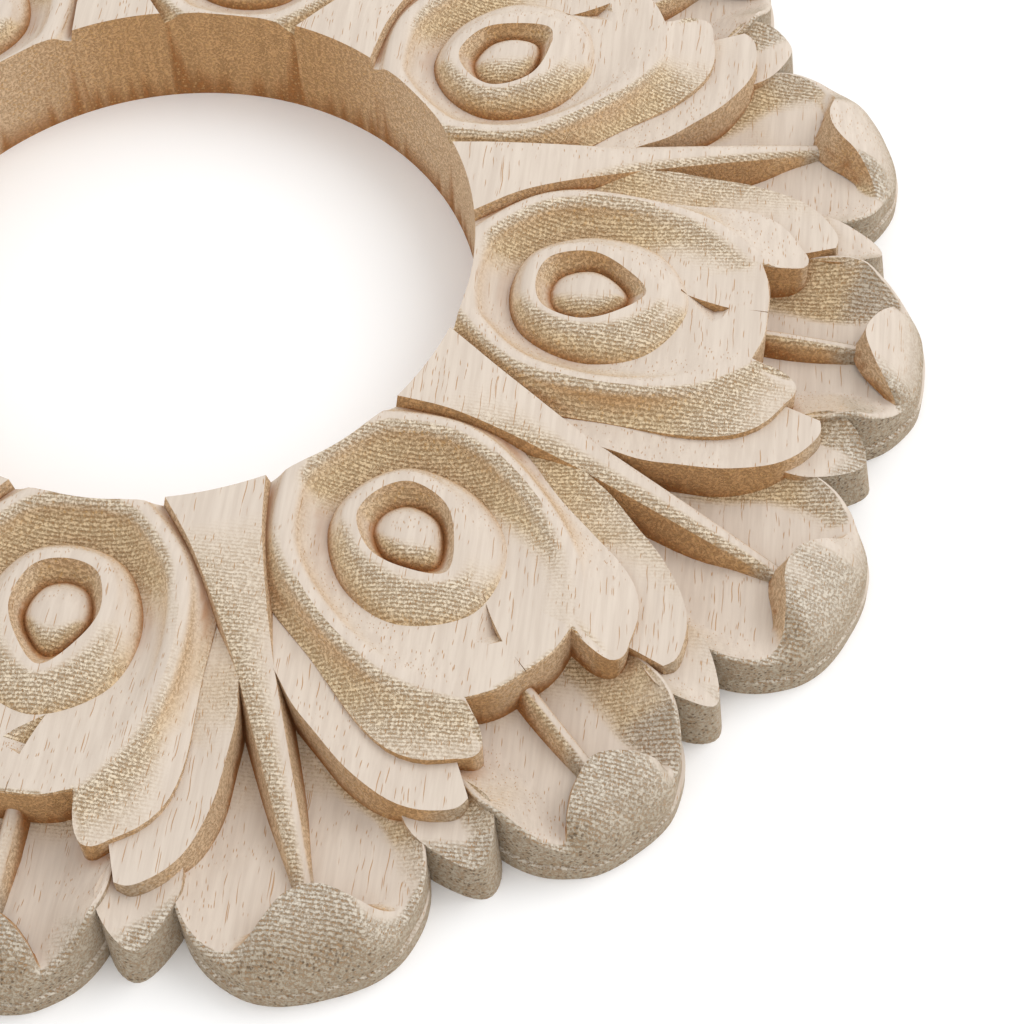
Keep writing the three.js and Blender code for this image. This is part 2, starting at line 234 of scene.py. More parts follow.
def ring(line, degrees, heights, fall=0.0):
    """A line round the eye with the heights that go with its distance from the ring's centre."""
    smooth_line = line if len(line) > dense else through(line, dense, True, True)
    plan = on_rays(smooth_line, degrees)
    return with_height(plan, np.interp(plan[:, 1], *heights) - fall)


def toward(start, end, distance):
    """The point a given distance from start towards end, but never past the middle. It keeps a part
    of the straight line's fall, so that the edge between is rounded over."""
    kept_fall = 0.6
    length = np.linalg.norm((end - start)[:, :2], axis=-1)
    share = np.minimum(distance / np.maximum(length, 1e-6), 0.5)
    return start + (end - start) * share[:, None] * np.array([1.0, 1.0, kept_fall])


end_rays = np.linspace(0, lobe_end_ray, 11)
tip_rays = np.linspace(lobe_end_ray, tip_end_ray, 12)[1:-1]
leaf_rays = np.linspace(tip_end_ray, 180, 46)
rays = np.concatenate([end_rays, tip_rays, leaf_rays])

end_edge = on_rays(oval_line, end_rays) + [0, lobe_overhang]
tip_edge = through(leaf_two_tip, len(tip_rays) + 2)[::-1][1:-1]
leaf_edge = on_rays(through(leaf_two_line, dense, starts_on_axis=True), leaf_rays)
end_edge = with_height(end_edge, np.interp(end_edge[:, 1], *oval_rim) - lobe_edge_fall)
tip_edge = with_height(tip_edge, np.interp(np.arange(len(tip_rays)), *leaf_two_tip_edge))
leaf_edge = with_height(leaf_edge, np.interp(np.hypot(*leaf_edge.T), *leaf_two_edge))
outer_edge = np.concatenate([end_edge, tip_edge, leaf_edge])
rim = ring(oval_line, rays, oval_rim)
foot = ring(boss_line, rays, boss_foot)
crest = ring(crest_line, rays, boss_crest, crest_fall)
pit = ring(pit_line, rays, boss_crest)
moat = ring(moat_line, rays, ([1, 2], [moat_height, moat_height]))
dome = ring(dome_line, rays, ([1, 2], [dome_height, dome_height]))
dome_top = dome * [dome_cap, 1, 1]
dome_top[:, 1] = dome_middle + (dome[:, 1] - dome_middle) * dome_cap
dome_top[:, 2] = dome_height + dome_rise


def oval(turn):
    """Lobe, eye and second leaf. On every ray the surface goes up the outer wall, in over the rim,
    down the hollow, over the boss's crest and into the pit, and ends on the dome."""
    keys = [
        outer_edge * [1, 1, 0] + [0, 0, below],
        outer_edge,
        toward(rim, outer_edge, outer_round),
        rim,
        toward(rim, foot, inner_round),
        foot,
        toward(crest, foot, crest_round),
        pit + (crest - pit) * [0.5, 0.5, 0.0],
        pit,
        moat,
        dome,
        dome_top,
    ]
    spans = [
        (1, 0), (7, -0.5), (2, 0.5), (2, -0.5), (8, 0.4), (6, 0.45), (3, 0.6), (2, -0.4),
        (4, 0.2), (5, 0.55), (2, 0.3),
    ]
    return solid(both_halves(sweep(keys, spans), on_axis_start=True), turn=turn)


# Wedge cut: a slim V cut in the lobe past the eye. One flank is a small upright wall, the other
# slopes down to its foot, and from its end a hairline runs on to the lobe's edge.
wedge_run = [
    [1.66, -0.058, -0.057, -0.05, 0.8], [1.69, -0.049, -0.045, 0.02, 0.77],
    [1.74, -0.035, -0.027, 0.09, 0.715], [1.77, -0.027, -0.018, 0.11, 0.695],
    [1.8, -0.019, -0.011, 0.08, 0.735], [1.82, -0.014, -0.008, 0.03, 0.795],
    [1.835, -0.011, -0.007, 0.0, 0.815], [1.89, -0.007, -0.004, -0.001, 0.8],
    [1.95, -0.004, -0.001, 0.002, 0.78],
]
wedge_top = 1.1


def wedge(turn):
    """A V cut, from its keel up past the lobe's surface. Each row gives how far out it lies, then
    the place across of the wall, of the keel and of the slope's far edge, then the keel's height."""
    out, wall, across, far, keel = np.array(wedge_run).T
    lobe = np.interp(out, *oval_rim)
    spread = (wedge_top - keel) / np.maximum(lobe - keel, 0.02)
    left = np.stack([wall, out, 0 * out + wedge_top], -1)
    bottom = np.stack([across, out, keel], -1)
    right = np.stack([across + (far - across) * spread, out, 0 * out + wedge_top], -1)
    return solid(np.stack([left, bottom, right], 1), turn=turn)


# Third leaf: a light band that comes out from under the second leaf's edge, beside the stem, and
# widens to its own rounded tip. Its outer wall is tall and stands over the stem's leaf.
leaf_three_line = [
    [0.5, 1.17], [0.536, 1.29], [0.553, 1.416], [0.564, 1.51], [0.577, 1.6], [0.574, 1.711],
    [0.567, 1.85], [0.535, 1.985], [0.49, 2.065], [0.43, 2.118], [0.385, 2.14], [0.345, 2.135],
]
leaf_three_edge = ([1.3, 1.56, 1.75, 1.95, 2.15], [0.84, 0.765, 0.69, 0.66, 0.64])
leaf_three_step = ([1.3, 1.6, 1.75, 2.1], [0.02, 0.01, 0.035, 0.08])
leaf_three_tip = np.array([0.318, 2.06])
leaf_three_rays = (112, 33, 25.2)
leaf_three_tuck = 0.7
leaf_three_flare = 0.2


def leaf_three(side, turn):
    """The band between two lines on the same rays: the second leaf's edge, a step lower, and its own
    edge. It goes on level under the second leaf, and its outer wall flares a little to the foot."""
    first_ray, tip_ray, last_ray = leaf_three_rays
    degrees = np.linspace(first_ray, tip_ray, 40)
    inner = on_rays(through(leaf_two_line, dense, starts_on_axis=True), degrees)
    outer = on_rays(through(leaf_three_line, dense), degrees)
    far = np.hypot(*inner.T)
    inner_height = np.interp(far, *leaf_two_edge) - np.interp(far, *leaf_three_step)
    share = np.linspace(0, 1, 9)[1:, None]
    inner = np.concatenate([inner, inner[-1] + (leaf_three_tip - inner[-1]) * share])
    outer_tip = on_rays(through(leaf_three_line, dense), np.linspace(tip_ray, last_ray, 9)[1:])
    outer = np.concatenate([outer, outer_tip])
    outer_height = np.interp(np.hypot(*outer.T), *leaf_three_edge)
    tip_inner_height = inner_height[-1] + (outer_height[-1] - inner_height[-1]) * share[:, 0]
    inner_height = np.concatenate([inner_height, tip_inner_height])
    hidden = inner - leaf_three_tuck * (outer - inner)
    base = with_height(outer + leaf_three_flare * (outer - inner), below)
    edge = with_height(outer, outer_height)
    lying = with_height(inner, inner_height)
    keys = [base, edge, lying, with_height(hidden, inner_height), with_height(hidden, below)]
    section = sweep(keys, [(1, 0), (5, 0.15), (1, 0), (1, 0)])
    rows = np.moveaxis(section, 0, 1) * [side, 1, 1]
    return solid(rows, turn=turn)


# Stem between two ovals: a broad flat at the bore, level with the board's face, that narrows to a
# round-backed rib and runs down into the curl of the leaf behind it.
stem_run = [
    [0.94, 0.165, 1, 0.004], [1.04, 0.137, 1, 0.004], [1.17, 0.105, 0.98, 0.006],
    [1.33, 0.08, 0.915, 0.015], [1.5, 0.06, 0.825, 0.03], [1.64, 0.05, 0.755, 0.035],
    [1.95, 0.036, 0.585, 0.035], [2.25, 0.024, 0.4, 0.035],
]
stem_draft = 0.1
stem_roundness = 2.5


def stem(turn):
    """A smooth run of sections, none higher than the board. Across the back the height falls off as
    a power of the share of the half width, and both flanks widen downwards."""
    out, half_width, height, crown = through(stem_run, 44).T
    height = np.minimum(height, cad_high[2] / ring_height)
    share = np.array([-1, -0.85, -0.5, 0, 0.5, 0.85, 1])
    top = np.stack(np.broadcast_arrays(
        half_width[:, None] * share,
        out[:, None],
        height[:, None] - crown[:, None] * np.abs(share) ** stem_roundness,
    ), -1)
    foot_width = half_width + stem_draft * height
    left = np.stack([-foot_width, out, np.full_like(out, below)], -1)
    right = left * [-1, 1, 1]
    return solid(np.concatenate([left[:, None], top, right[:, None]], 1), turn=turn)


# Base leaves: one behind each stem and one behind each eye. The tip curls up and inwards, so that
# the lip has a steep hollow face towards the dish and a round back that drops to the outer wall.
stem_leaf = {
    "floor": [[0.06, 1.5], [0.3, 1.93], [0.355, 2.12], [0.352, 2.23], [0.325, 2.315], [0.28, 2.385],
              [0.22, 2.435], [0.15, 2.468], [0.075, 2.482], [0, 2.485]],
    "shoulder": [[0.06, 1.5], [0.3, 1.93], [0.35, 2.12], [0.347, 2.225], [0.315, 2.305], [0.268, 2.36],
                 [0.213, 2.42], [0.145, 2.452], [0.072, 2.466], [0, 2.468]],
    "shoulder_height": [0.42, 0.42, 0.475, 0.445, 0.385, 0.34, 0.28, 0.27, 0.26, 0.26],
    "crest": [[0.055, 1.52], [0.29, 1.94], [0.343, 2.12], [0.339, 2.22], [0.302, 2.295], [0.247, 2.335],
              [0.19, 2.338], [0.12, 2.305], [0.06, 2.268], [0, 2.255]],
    "crest_height": [0.44, 0.44, 0.49, 0.46, 0.41, 0.385, 0.47, 0.64, 0.705, 0.715],
    "foot": [[0.04, 1.58], [0.17, 1.93], [0.25, 2.1], [0.25, 2.19], [0.24, 2.245], [0.215, 2.285],
             [0.17, 2.295], [0.12, 2.268], [0.06, 2.225], [0, 2.205]],
    "foot_height": [0.42, 0.3, 0.34, 0.35, 0.355, 0.35, 0.35, 0.355, 0.35, 0.36],
}
eye_leaf = {
    "floor": [[0.16, 1.8], [0.3, 1.95], [0.335, 2.12], [0.331, 2.22], [0.305, 2.3], [0.262, 2.367],
              [0.205, 2.415], [0.14, 2.449], [0.07, 2.465], [0, 2.468]],
    "shoulder": [[0.16, 1.8], [0.3, 1.95], [0.327, 2.12], [0.312, 2.222], [0.285, 2.29], [0.247, 2.345],
                 [0.195, 2.392], [0.135, 2.434], [0.068, 2.448], [0, 2.45]],
    "shoulder_height": [0.44, 0.49, 0.59, 0.63, 0.53, 0.43, 0.35, 0.28, 0.27, 0.27],
    "crest": [[0.15, 1.81], [0.29, 1.96], [0.318, 2.12], [0.3, 2.222], [0.272, 2.283], [0.236, 2.333],
              [0.184, 2.368], [0.152, 2.333], [0.085, 2.282], [0, 2.25]],
    "crest_height": [0.45, 0.5, 0.6, 0.65, 0.55, 0.45, 0.39, 0.56, 0.67, 0.71],
    "foot": [[0.12, 1.83], [0.16, 1.96], [0.15, 2.08], [0.145, 2.17], [0.15, 2.24], [0.155, 2.29],
             [0.155, 2.328], [0.125, 2.295], [0.07, 2.247], [0, 2.22]],
    "foot_height": [0.42, 0.36, 0.345, 0.355, 0.365, 0.37, 0.375, 0.395, 0.4, 0.41],
}
ledge_height = 0.15
ledge_rise = 0.012
ground_lean = 0.33
ledge_lean = 0.36
inset_lean = 0.8
dish_dip = 0.01
dish_narrowing = 0.3


def curled_leaf(leaf, turn):
    """A surface carried from line to line: up the outer wall, in over the shoulder to the lip, down
    to the dish and across it. Near the floor the wall has a fine ledge, left by the cutter's last
    pass: there it takes up most of the lean that it has between the floor and the shoulder."""
    def line(name, height):
        points = with_height(np.array(leaf[name], float), height)
        return through(points, 40, ends_on_axis=True)

    floor = line("floor", below)
    shoulder = line("shoulder", np.array(leaf["shoulder_height"]))
    lip = line("crest", np.array(leaf["crest_height"]))
    dish = line("foot", np.array(leaf["foot_height"]))
    middle = dish * [dish_narrowing, 1, 1] - [0, 0, dish_dip]
    lean = (shoulder - floor)[:, :2]
    ground = with_height(floor[:, :2] + lean * ground_lean, 0.0)
    ledge = with_height(floor[:, :2] + lean * ledge_lean, ledge_height)
    above = with_height(floor[:, :2] + lean * inset_lean, ledge_height + ledge_rise)
    keys = [floor, ground, ledge, above, shoulder, lip, dish, middle]
    rows = sweep(keys, [(1, 0), (1, 0), (1, 0), (1, 0), (6, 0.45), (5, 0.15), (3, 0.3)])
    return solid(both_halves(rows), zipped=True, turn=turn)


# Midrib of the eye's base leaf: a short band with a round back, left standing in the dish. It comes
# out from under the lobe's end and runs down into the curl.
midrib_run = [[1.85, 0.55], [1.955, 0.545], [2.1, 0.51], [2.24, 0.47]]
midrib_across = [-0.05, -0.033, -0.021, -0.011, 0, 0.011, 0.021, 0.033, 0.05]
midrib_fall = [0.35, 0.13, 0.03, 0.006, 0, 0.006, 0.03, 0.13, 0.35]


def midrib(turn):
    """One section, with its fall from the crest at each place across, carried along the run."""
    out, height = through(midrib_run, 16).T
    surface = height[:, None] - np.array(midrib_fall)
    rows = np.stack(np.broadcast_arrays(np.array(midrib_across), out[:, None], surface), -1)
    return solid(rows, turn=turn)


# Fillers: small rounded arches, two to a pitch, that close the ring's edge between two base leaves.
# Their tops are hollowed a little towards the middle.
filler_floor = [
    [0.33, 2.0], [0.3, 2.18], [0.343, 2.285], [0.413, 2.325], [0.475, 2.265], [0.53, 2.12],
    [0.5, 2.0],
]
filler_line = [
    [0.33, 2.0], [0.297, 2.16], [0.343, 2.25], [0.417, 2.29], [0.47, 2.24], [0.52, 2.11],
    [0.5, 2.0],
]
filler_edge_height = [0.5, 0.62, 0.56, 0.41, 0.43, 0.5, 0.5]
filler_top = [0.41, 2.2, 0.475]
filler_curve = 1.8
filler_closes_at = 0.96


def filler(side, turn):
    """The edge is level with the base leaf beside it and falls away from it. From the edge the top
    sinks to a point near the middle, first steeply and then ever less."""
    edge = through(with_height(np.array(filler_line), np.array(filler_edge_height)), 26)
    base = with_height(through(filler_floor, 26), below)
    share = np.linspace(0, filler_closes_at, 7)[:, None, None]
    sunk = 1 - (1 - share) ** filler_curve
    inward = edge + (np.array(filler_top) - edge) * np.concatenate([share, share, sunk], -1)
    rows = np.concatenate([base[None], inward]) * [side, 1, 1]
    return solid(rows, turn=turn)


# Web of wood under the leaves: what the cutter left of the board between the carved forms. With it
# all eight pitches become one solid, whose back is then planed flat and whose bore is cut through.
bore_sides = 256
web_height = 0.26
web_reach = 2.2
web_overlap = 0.002
plane_radius = 0.2
plane_depth = 0.02
bore_cut_low = -0.01
bore_cut_high = 0.03
sharp_angle = math.radians(34)


def tube(inner, outer, low, high):
    """A ring of square section about the bore's axis."""
    angle = np.arange(bore_sides) * 2 * np.pi / bore_sides
    circle = np.stack([np.cos(angle), np.sin(angle)], -1)
    rows = [(inner, low), (inner, high), (outer, high), (outer, low)]
    points = np.concatenate([with_height(circle * radius, height) for radius, height in rows])
    step = np.arange(bore_sides)
    after = (step + 1) % bore_sides
    corner = (np.arange(4) * bore_sides)[:, None]
    onward = (corner + bore_sides) % (4 * bore_sides)
    faces = np.stack([corner + step, corner + after, onward + after, onward + step], -1)
    return made(points, faces.reshape(-1, 4).tolist())


def disc(radius, low, high):
    """A round plug about the bore's axis."""
    angle = np.arange(bore_sides) * 2 * np.pi / bore_sides
    circle = np.stack([np.cos(angle), np.sin(angle)], -1) * radius
    points = np.concatenate([with_height(circle, low), with_height(circle, high)])
    step = np.arange(bore_sides)
    after = (step + 1) % bore_sides
    faces = np.stack([step, after, bore_sides + after, bore_sides + step], -1).tolist()
    faces += [step[::-1].tolist(), (bore_sides + step).tolist()]
    return made(points, faces)


def combined(body, others, operation):
    """The body after each of the others is joined to it or cut from it, one after another."""
    for other in others:
        change = body.modifiers.new("change", "BOOLEAN")
        change.solver = "MANIFOLD"
        change.operation = operation
        change.object = other
    evaluated = body.evaluated_get(bpy.context.evaluated_depsgraph_get())
    mesh = bpy.data.meshes.new_from_object(evaluated)
    body.modifiers.clear()
    old = body.data
    body.data = mesh
    bpy.data.meshes.remove(old)
    for other in others:
        spent = other.data
        bpy.data.objects.remove(other)
        bpy.data.meshes.remove(spent)
    return body


def motif():
    """The forms of one pitch, joined in one solid: eye and stem with everything beside them."""
    half = pitch / 2
    forms = [curled_leaf(eye_leaf, 0), midrib(0), curled_leaf(stem_leaf, half), stem(half)]
    for side in (1, -1):
        forms += [leaf_three(side, 0), filler(side, 0)]
    body = combined(oval(0), forms, "UNION")
    return combined(body, [wedge(0)], "DIFFERENCE")


def turned_copy(source, turn):
    """A copy of an object's mesh, turned about the bore's axis."""
    copy = bpy.data.objects.new("carving", source.data.copy())
    copy.data.transform(Matrix.Rotation(turn, 4, "Z"))
    bpy.context.scene.collection.objects.link(copy)
    return copy


one_pitch = motif()
copies = [turned_copy(one_pitch, index * pitch) for index in range(1, eye_count)]
web_radius = place([0, web_reach, 0])[0]
web = tube(bore_radius - web_overlap, web_radius, -planed_off, web_height * ring_height)
carved_ring = combined(one_pitch, copies + [web], "UNION")
plane_off = disc(plane_radius, -plane_depth, 0.0)
bore = disc(bore_radius, bore_cut_low, bore_cut_high)
carved_ring = combined(carved_ring, [plane_off, bore], "DIFFERENCE")
carved_ring.name = carved_ring.data.name = "ring_carving"
carved_ring.data.shade_smooth()
carved_ring.data.set_sharp_from_angle(angle=sharp_angle)


def shelter(points):
    """How far the carving round each point closes it in, from 0 in the open to 1 deep in a gap: the
    mean, over twelve directions, of the sine of the angle up to the highest wood in view that way.
    The wood's height is read from a square map of cells, each as high as the cells round it."""
    cell = 0.0006
    reach_out = 0.12
    directions = 12
    distances = (0.0015, 0.0025, 0.004, 0.006, 0.009)
    column, row = ((points[:, :2] + reach_out) / cell).astype(int).T
    top = np.zeros((int(2 * reach_out / cell),) * 2)
    np.maximum.at(top, (column, row), points[:, 2])
    near = (-1, 0, 1)
    top = np.maximum.reduce([np.roll(top, (x, y), (0, 1)) for x in near for y in near])
    closed = np.zeros(len(points))
    for angle in np.arange(directions) * 2 * math.pi / directions:
        steepest = np.zeros(len(points))
        for distance in distances:
            across = round(distance * math.cos(angle) / cell)
            up = round(distance * math.sin(angle) / cell)
            rise = top[column + across, row + up] - points[:, 2]
            steepest = np.maximum(steepest, rise / distance)
        closed += steepest / np.hypot(1, steepest) / directions
    return closed


# How closed in each point is, kept on the mesh. The wood's material uses it to paint shade into the
# slopes and gaps that the carving closes in.
ring_mesh = carved_ring.data
ring_points = np.empty(len(ring_mesh.vertices) * 3, np.float32)
ring_mesh.vertices.foreach_get("co", ring_points)
shade_closed_in = ring_mesh.attributes.new("shade_closed_in", "FLOAT", "POINT")
shade_closed_in.data.foreach_set("value", shelter(ring_points.reshape(-1, 3)).astype(np.float32))


def linear(hex_colour):
    """An sRGB colour, written as hex, as linear light with full opacity."""
    channels = [int(hex_colour[start:start + 2], 16) / 255 for start in (0, 2, 4)]
    return (*[c / 12.92 if c <= 0.04045 else ((c + 0.055) / 1.055) ** 2.4 for c in channels], 1)


# Bare rubberwood, cut by a round-nosed cutter in passes and then left raw. Flats are pale and faintly
# pink with thin brown vessel lines. Where a slope cuts across the grain, the passes show as fine
# terraces, the wood turns tan and fuzzy, and the vessels show as dark dots. Painted shade darkens the
# terraces' risers, the slopes that the carving closes in and, most of all, the deep gaps. Nothing
# shines.
grain_azimuth = math.radians(47)
millimetre = 0.001

# In millimetres: the passes' spacing, how far the grain wavers and, for vessels, their length along
# the grain, how far apart they lie and their width. A shift sets one group off from another.
pass_spacing = 0.45
waver_mm = 0.9
long_vessels = {"length": 34.0, "spacing": 0.38, "width": 0.19, "shift": 0.0}
short_vessels = {"length": 17.0, "spacing": 0.32, "width": 0.19, "shift": 4.7}
wide_pores = {"length": 20.0, "spacing": 0.62, "width": 0.34, "shift": 2.3}

# Per millimetre: the grain's waver, the passes' drift, the torn fibres and the pale streaks, and then
# by how much of their spacing the passes drift.
waver_per_mm = 0.22
drift_per_mm = 0.5
fibres_per_mm = 2.6
streaks_per_mm = (0.06, 1.1, 1.1)
pass_drift = 0.9

wood = bpy.data.materials.new("rubberwood_routed_bare")
wood.use_nodes = True


def node(kind, inputs, output=0, **properties):
    """Adds one node to the wood and gives one of its outputs. An input is another node's output,
    which is linked, or a value, which is set. The properties are the node's other settings."""
    added = wood.node_tree.nodes.new(kind)
    for name, value in properties.items():
        setattr(added, name, value)
    for name, value in inputs.items():
        if isinstance(value, bpy.types.NodeSocket):
            wood.node_tree.links.new(value, added.inputs[name])
        else:
            added.inputs[name].default_value = value
    return added.outputs[output]


map_range = "ShaderNodeMapRange"
maths = "ShaderNodeMath"
vector_maths = "ShaderNodeVectorMath"
noise = "ShaderNodeTexNoise"
mix = "ShaderNodeMix"
soft = {"interpolation_type": "SMOOTHSTEP"}

# A colour mix's sockets by their places: the share, the colours under and over it, and the result.
share_in, under, over, mixed = 0, 6, 7, 2

# The grain: millimetres along it, across it and up, bent a little so that no vessel runs dead straight.
place_on = node("ShaderNodeTexCoord", {}, "Object")
to_millimetres = {"Rotation": (0, 0, -grain_azimuth), "Scale": (1 / millimetre,) * 3}
grain = node("ShaderNodeMapping", {"Vector": place_on, **to_millimetres})
waver = node(noise, {"Vector": grain, "Scale": waver_per_mm, "Detail": 1}, "Color")
bent = node(vector_maths, {0: waver, 1: (0, waver_mm, waver_mm), 2: grain}, operation="MULTIPLY_ADD")


def vessels(length, spacing, width, shift):
    """Vessels as long thin bodies along the grain: lines on a flat, dots where the grain is cut.
    The place is stretched to one body per cell, and a body is where its centre is near."""
    stretch = (1 / length, 1 / spacing, 1 / spacing)
    cells = node(vector_maths, {
        0: bent, 1: stretch, 2: (shift, shift, shift),
    }, operation="MULTIPLY_ADD")
    centre = node("ShaderNodeTexVoronoi", {"Vector": cells, "Scale": 1.0}, "Distance")
    return node(map_range, {
        "Value": centre, "From Min": width / 2, "From Max": width, "To Min": 1.0, "To Max": 0.0,
    }, **soft)


vessel = node(maths, {0: vessels(**long_vessels), 1: vessels(**short_vessels)}, operation="MAXIMUM")
pore = vessels(**wide_pores)

# How a face lies: slopes and walls by how steep it is, end grain and side grain by where it looks.
along = (math.cos(grain_azimuth), math.sin(grain_azimuth), 0)
beside = (along[1], -along[0], 0)
normal = node("ShaderNodeNewGeometry", {}, "Normal")
upward = node("ShaderNodeSeparateXYZ", {0: normal}, "Z")
steep = node(maths, {0: 1.0, 1: upward}, operation="SUBTRACT")
slope = node(map_range, {"Value": steep, "From Min": 0.01, "From Max": 0.3}, **soft)
wall = node(map_range, {"Value": steep, "From Min": 0.12, "From Max": 0.7}, **soft)
facing = node(vector_maths, {0: normal, 1: along}, "Value", operation="DOT_PRODUCT")
end_grain = node(maths, {0: facing}, operation="ABSOLUTE")
end_wall = node(map_range, {"Value": end_grain, "From Min": 0.35, "From Max": 0.85}, **soft)
sideways = node(vector_maths, {0: normal, 1: beside}, "Value", operation="DOT_PRODUCT")
side_grain = node(maths, {0: sideways}, operation="ABSOLUTE")
off_side = node(map_range, {
    "Value": side_grain, "From Min": 0.3, "From Max": 0.8, "To Min": 1.0, "To Max": 0.15,
}, **soft)

# The cutter tears the fibres on slopes that face along the grain, and less on those that face back.
rising = node(map_range, {"Value": facing, "From Min": 0.02, "From Max": 0.3}, **soft)
falling = node(map_range, {
    "Value": facing, "From Min": -0.3, "From Max": -0.75, "To Min": 0.0, "To Max": 0.4,
}, **soft)
cut_across = node(maths, {0: rising, 1: falling}, operation="MAXIMUM")

# Terraces: a wave across the passes, made ragged by the fibres, on slopes and less on walls. Their
# brown lines are partly the torn fibre's own colour and partly painted shade on the small riser of each
# pass.
drift = node(noise, {"Vector": grain, "Scale": drift_per_mm, "Detail": 2}, "Fac")
drifted = node(maths, {0: drift, 1: pass_drift}, operation="MULTIPLY")
along_it = node("ShaderNodeSeparateXYZ", {0: grain}, "X")
counted = node(maths, {0: along_it, 1: pass_spacing}, operation="DIVIDE")
passes = node(maths, {0: counted, 1: drifted}, operation="ADD")
turns = node(maths, {0: passes, 1: 2 * math.pi}, operation="MULTIPLY")
wave = node(maths, {0: turns}, operation="SINE")
fibres = {"Vector": grain, "Scale": fibres_per_mm, "Roughness": 0.75}
torn = node(noise, {**fibres, "Detail": 4}, "Fac")
frayed = node(map_range, {
    "Value": torn, "From Min": 0.25, "From Max": 0.75, "To Min": -0.9, "To Max": 0.9,
}, **soft)
ragged = node(maths, {0: wave, 1: frayed}, operation="ADD")
crests = node(map_range, {"Value": ragged, "From Min": -0.3, "From Max": 1.3}, **soft)
off_wall = node(map_range, {
    "Value": wall, "From Min": 0.2, "From Max": 1.0, "To Min": 1.0, "To Max": 0.4,
}, **soft)
torn_slope = node(maths, {0: cut_across, 1: off_side}, operation="MULTIPLY")
on_slope = node(maths, {0: torn_slope, 1: off_wall}, operation="MULTIPLY")
terrace_and_riser_shade = node(maths, {0: crests, 1: on_slope}, operation="MULTIPLY")

# Fuzz: specks of raised fibre, wherever the wood is cut across or stands as a wall.
lint = node(noise, {**fibres, "Detail": 3}, "Fac")
speck = node(map_range, {"Value": lint, "From Min": 0.44, "From Max": 0.62}, **soft)
rough_cut = node(maths, {0: cut_across, 1: wall}, operation="MAXIMUM")
fuzz = node(maths, {0: speck, 1: rough_cut}, operation="MULTIPLY")

# Where it lies on the ring: the grey outer wall, and gaps that the carving closes in, which are given
# painted shade.
level_place = node(vector_maths, {0: place_on, 1: (1, 1, 0)}, operation="MULTIPLY")
radius = node(vector_maths, {0: level_place}, "Value", operation="LENGTH")
outward = node(vector_maths, {0: level_place}, operation="NORMALIZE")
turned_out = node(vector_maths, {0: normal, 1: outward}, "Value", operation="DOT_PRODUCT")
faces_out = node(map_range, {"Value": turned_out, "From Min": -0.3, "From Max": 0.1}, **soft)
at_rim = node(map_range, {"Value": radius, "From Min": 0.086, "From Max": 0.09}, **soft)
outside = node(maths, {0: at_rim, 1: faces_out}, operation="MULTIPLY")
closed = node("ShaderNodeAttribute", {}, "Fac", attribute_name="shade_closed_in")
# Painted shade: slopes darken a little, and deep gaps turn dark brown, as the carving closes them in.
enclosed_shade = node(map_range, {"Value": closed, "From Min": 0.12, "From Max": 0.5}, **soft)
gap_shade_mask = node(map_range, {"Value": closed, "From Min": 0.52, "From Max": 0.8}, **soft)
inner_slope = node(maths, {0: slope, 1: outside}, operation="SUBTRACT")
painted_gap_shade = node(maths, {0: gap_shade_mask, 1: inner_slope}, operation="MULTIPLY")
outer_end = node(maths, {0: end_wall, 1: outside}, operation="MULTIPLY")
end_pore = node(maths, {0: pore, 1: end_wall}, operation="MULTIPLY")

# Colours: streaky flats, then slopes, walls and painted gap shade over them, and last the marks, each
# with its strength. Inside the ring the cut wood is warm, and on the outer wall it is greyish. Slopes
# and gaps that the carving closes in are darkened with painted shade.
rgba = {"data_type": "RGBA"}
stretched = node(vector_maths, {0: grain, 1: streaks_per_mm}, operation="MULTIPLY")
banding = node(noise, {"Vector": stretched, "Scale": 1.0, "Detail": 4, "Roughness": 0.65}, "Fac")
streak = node(map_range, {"Value": banding, "From Min": 0.3, "From Max": 0.7}, **soft)
colour = node(mix, {share_in: streak, under: linear("c7b9ab"), over: linear("d2c5b7")}, mixed, **rgba)
# Painted shade: slopes that the carving closes in turn a darker tan.
warm_slope_and_shade = node(mix, {
    share_in: enclosed_shade, under: linear("decfb8"), over: linear("dcc5a0"),
}, mixed, **rgba)
warm_wall = node(mix, {
    share_in: off_side, under: linear("dcc1a0"), over: linear("c99f70"),
}, mixed, **rgba)
slope_colour = node(mix, {share_in: outside, under: warm_slope_and_shade, over: linear("d2c8b8")}, mixed, **rgba)
wall_colour = node(mix, {share_in: outside, under: warm_wall, over: linear("b9ab97")}, mixed, **rgba)
pore_colour = node(mix, {
    share_in: outside, under: linear("cda36c"), over: linear("5c4a35"),
}, mixed, **rgba)
layers = [
    (cut_across, 1.0, slope_colour),
    (wall, 1.0, wall_colour),
    (outer_end, 1.0, linear("b2a591")),
    # Painted shade: dark brown in the deep gaps.
    (painted_gap_shade, 1.0, linear("a56f3f")),
    # Terrace lines: torn fibre's colour, plus painted shade on the pass risers.
    (terrace_and_riser_shade, 0.6, linear("a27d50")),
    (fuzz, 0.5, linear("957149")),
    (vessel, 0.8, linear("b28352")),
    (end_pore, 0.7, pore_colour),
]
for mark, strength, mark_colour in layers:
    share = node(maths, {0: mark, 1: strength}, operation="MULTIPLY")
    colour = node(mix, {share_in: share, under: colour, over: mark_colour}, mixed, **rgba)

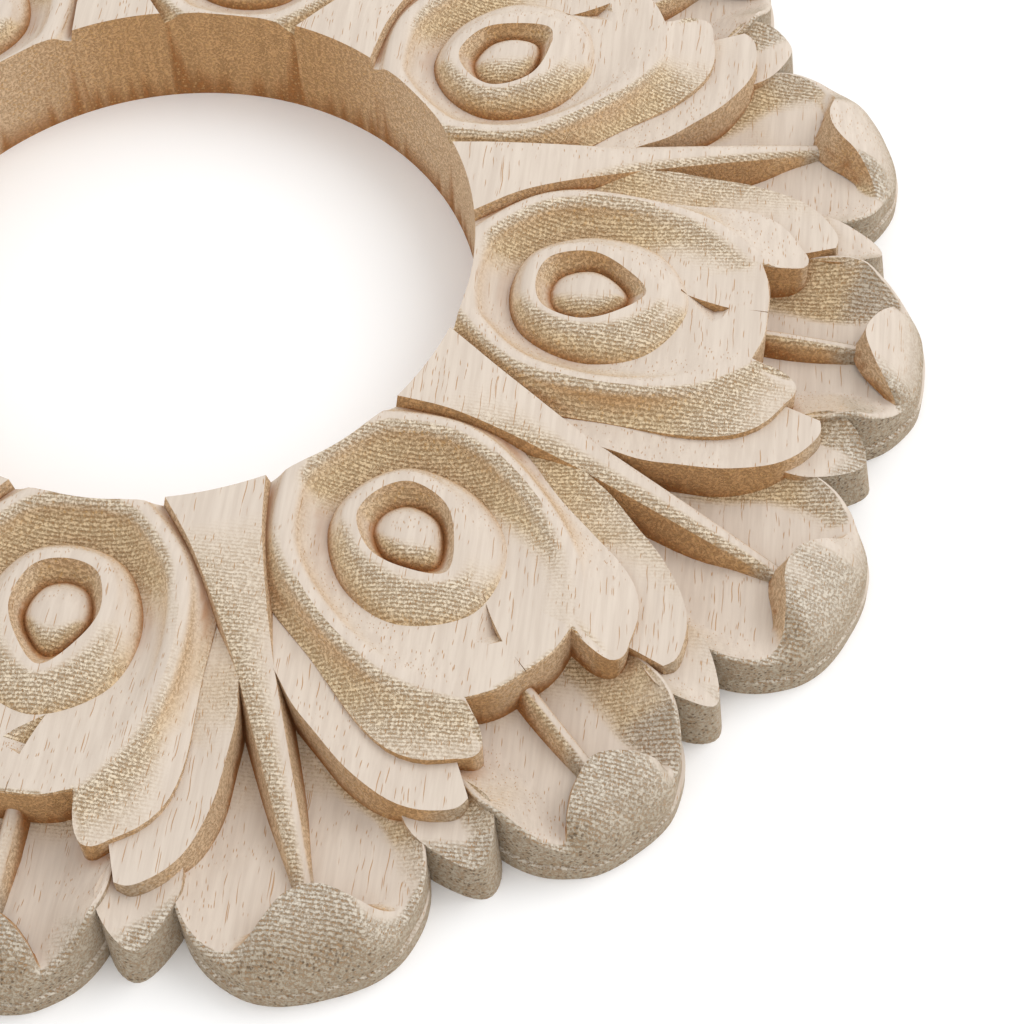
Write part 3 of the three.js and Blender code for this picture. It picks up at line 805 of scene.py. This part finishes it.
# Relief too fine for the mesh, with each mark's depth in millimetres.
relief = 0.0
for mark, depth in ((terrace_and_riser_shade, 0.07), (fuzz, 0.08), (vessel, 0.03)):
    relief = node(maths, {0: mark, 1: -depth, 2: relief}, operation="MULTIPLY_ADD")
bump = node("ShaderNodeBump", {"Height": relief, "Strength": 1.0, "Distance": millimetre})

shader = wood.node_tree.nodes["Principled BSDF"]
shader.inputs["Roughness"].default_value = 0.85
shader.inputs["Specular IOR Level"].default_value = 0.25
wood.node_tree.links.new(colour, shader.inputs["Base Color"])
wood.node_tree.links.new(bump, shader.inputs["Normal"])
ring_mesh.materials.clear()
ring_mesh.materials.append(wood)

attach(carved_ring, "root")
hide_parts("carved_ring")

# Floor: a sheet of matt white paper that the ring lies on, so wide that no edge of it shows.
floor_half = 3.0
corners = np.array([[-1, -1, 0], [1, -1, 0], [1, 1, 0], [-1, 1, 0]]) * floor_half
floor_mesh = bpy.data.meshes.new("floor")
floor_mesh.from_pydata(corners.tolist(), [], [(0, 1, 2, 3)])
floor = bpy.data.objects.new("floor", floor_mesh)
bpy.context.scene.collection.objects.link(floor)
paper = bpy.data.materials.new("white_paper_matt")
paper.use_nodes = True
paper_shader = paper.node_tree.nodes["Principled BSDF"]
paper_shader.inputs["Base Color"].default_value = linear("fbfbfb")
paper_shader.inputs["Roughness"].default_value = 0.9
floor_mesh.materials.append(paper)

# Light: a bright white surround, and one large soft box high up beyond the picture's right edge. The
# Standard view transform keeps the sheet of paper as white as it is to the eye.
world = bpy.data.worlds.new("studio")
bpy.context.scene.world = world
world.use_nodes = True
surround = world.node_tree.nodes["Background"]
surround.inputs["Color"].default_value = (1, 1, 1, 1)
surround.inputs["Strength"].default_value = 1.0
bpy.context.scene.view_settings.view_transform = "Standard"

key_place = Vector((-0.55, 0.15, 0.75))
key_target = Vector((0, 0.05, 0))
key_data = bpy.data.lights.new("key", "AREA")
key_data.shape = "SQUARE"
key_data.size = 0.6
key_data.energy = 3.0
key = bpy.data.objects.new("key", key_data)
key.location = key_place
key.rotation_euler = (key_target - key_place).to_track_quat("-Z", "Y").to_euler()
bpy.context.scene.collection.objects.link(key)
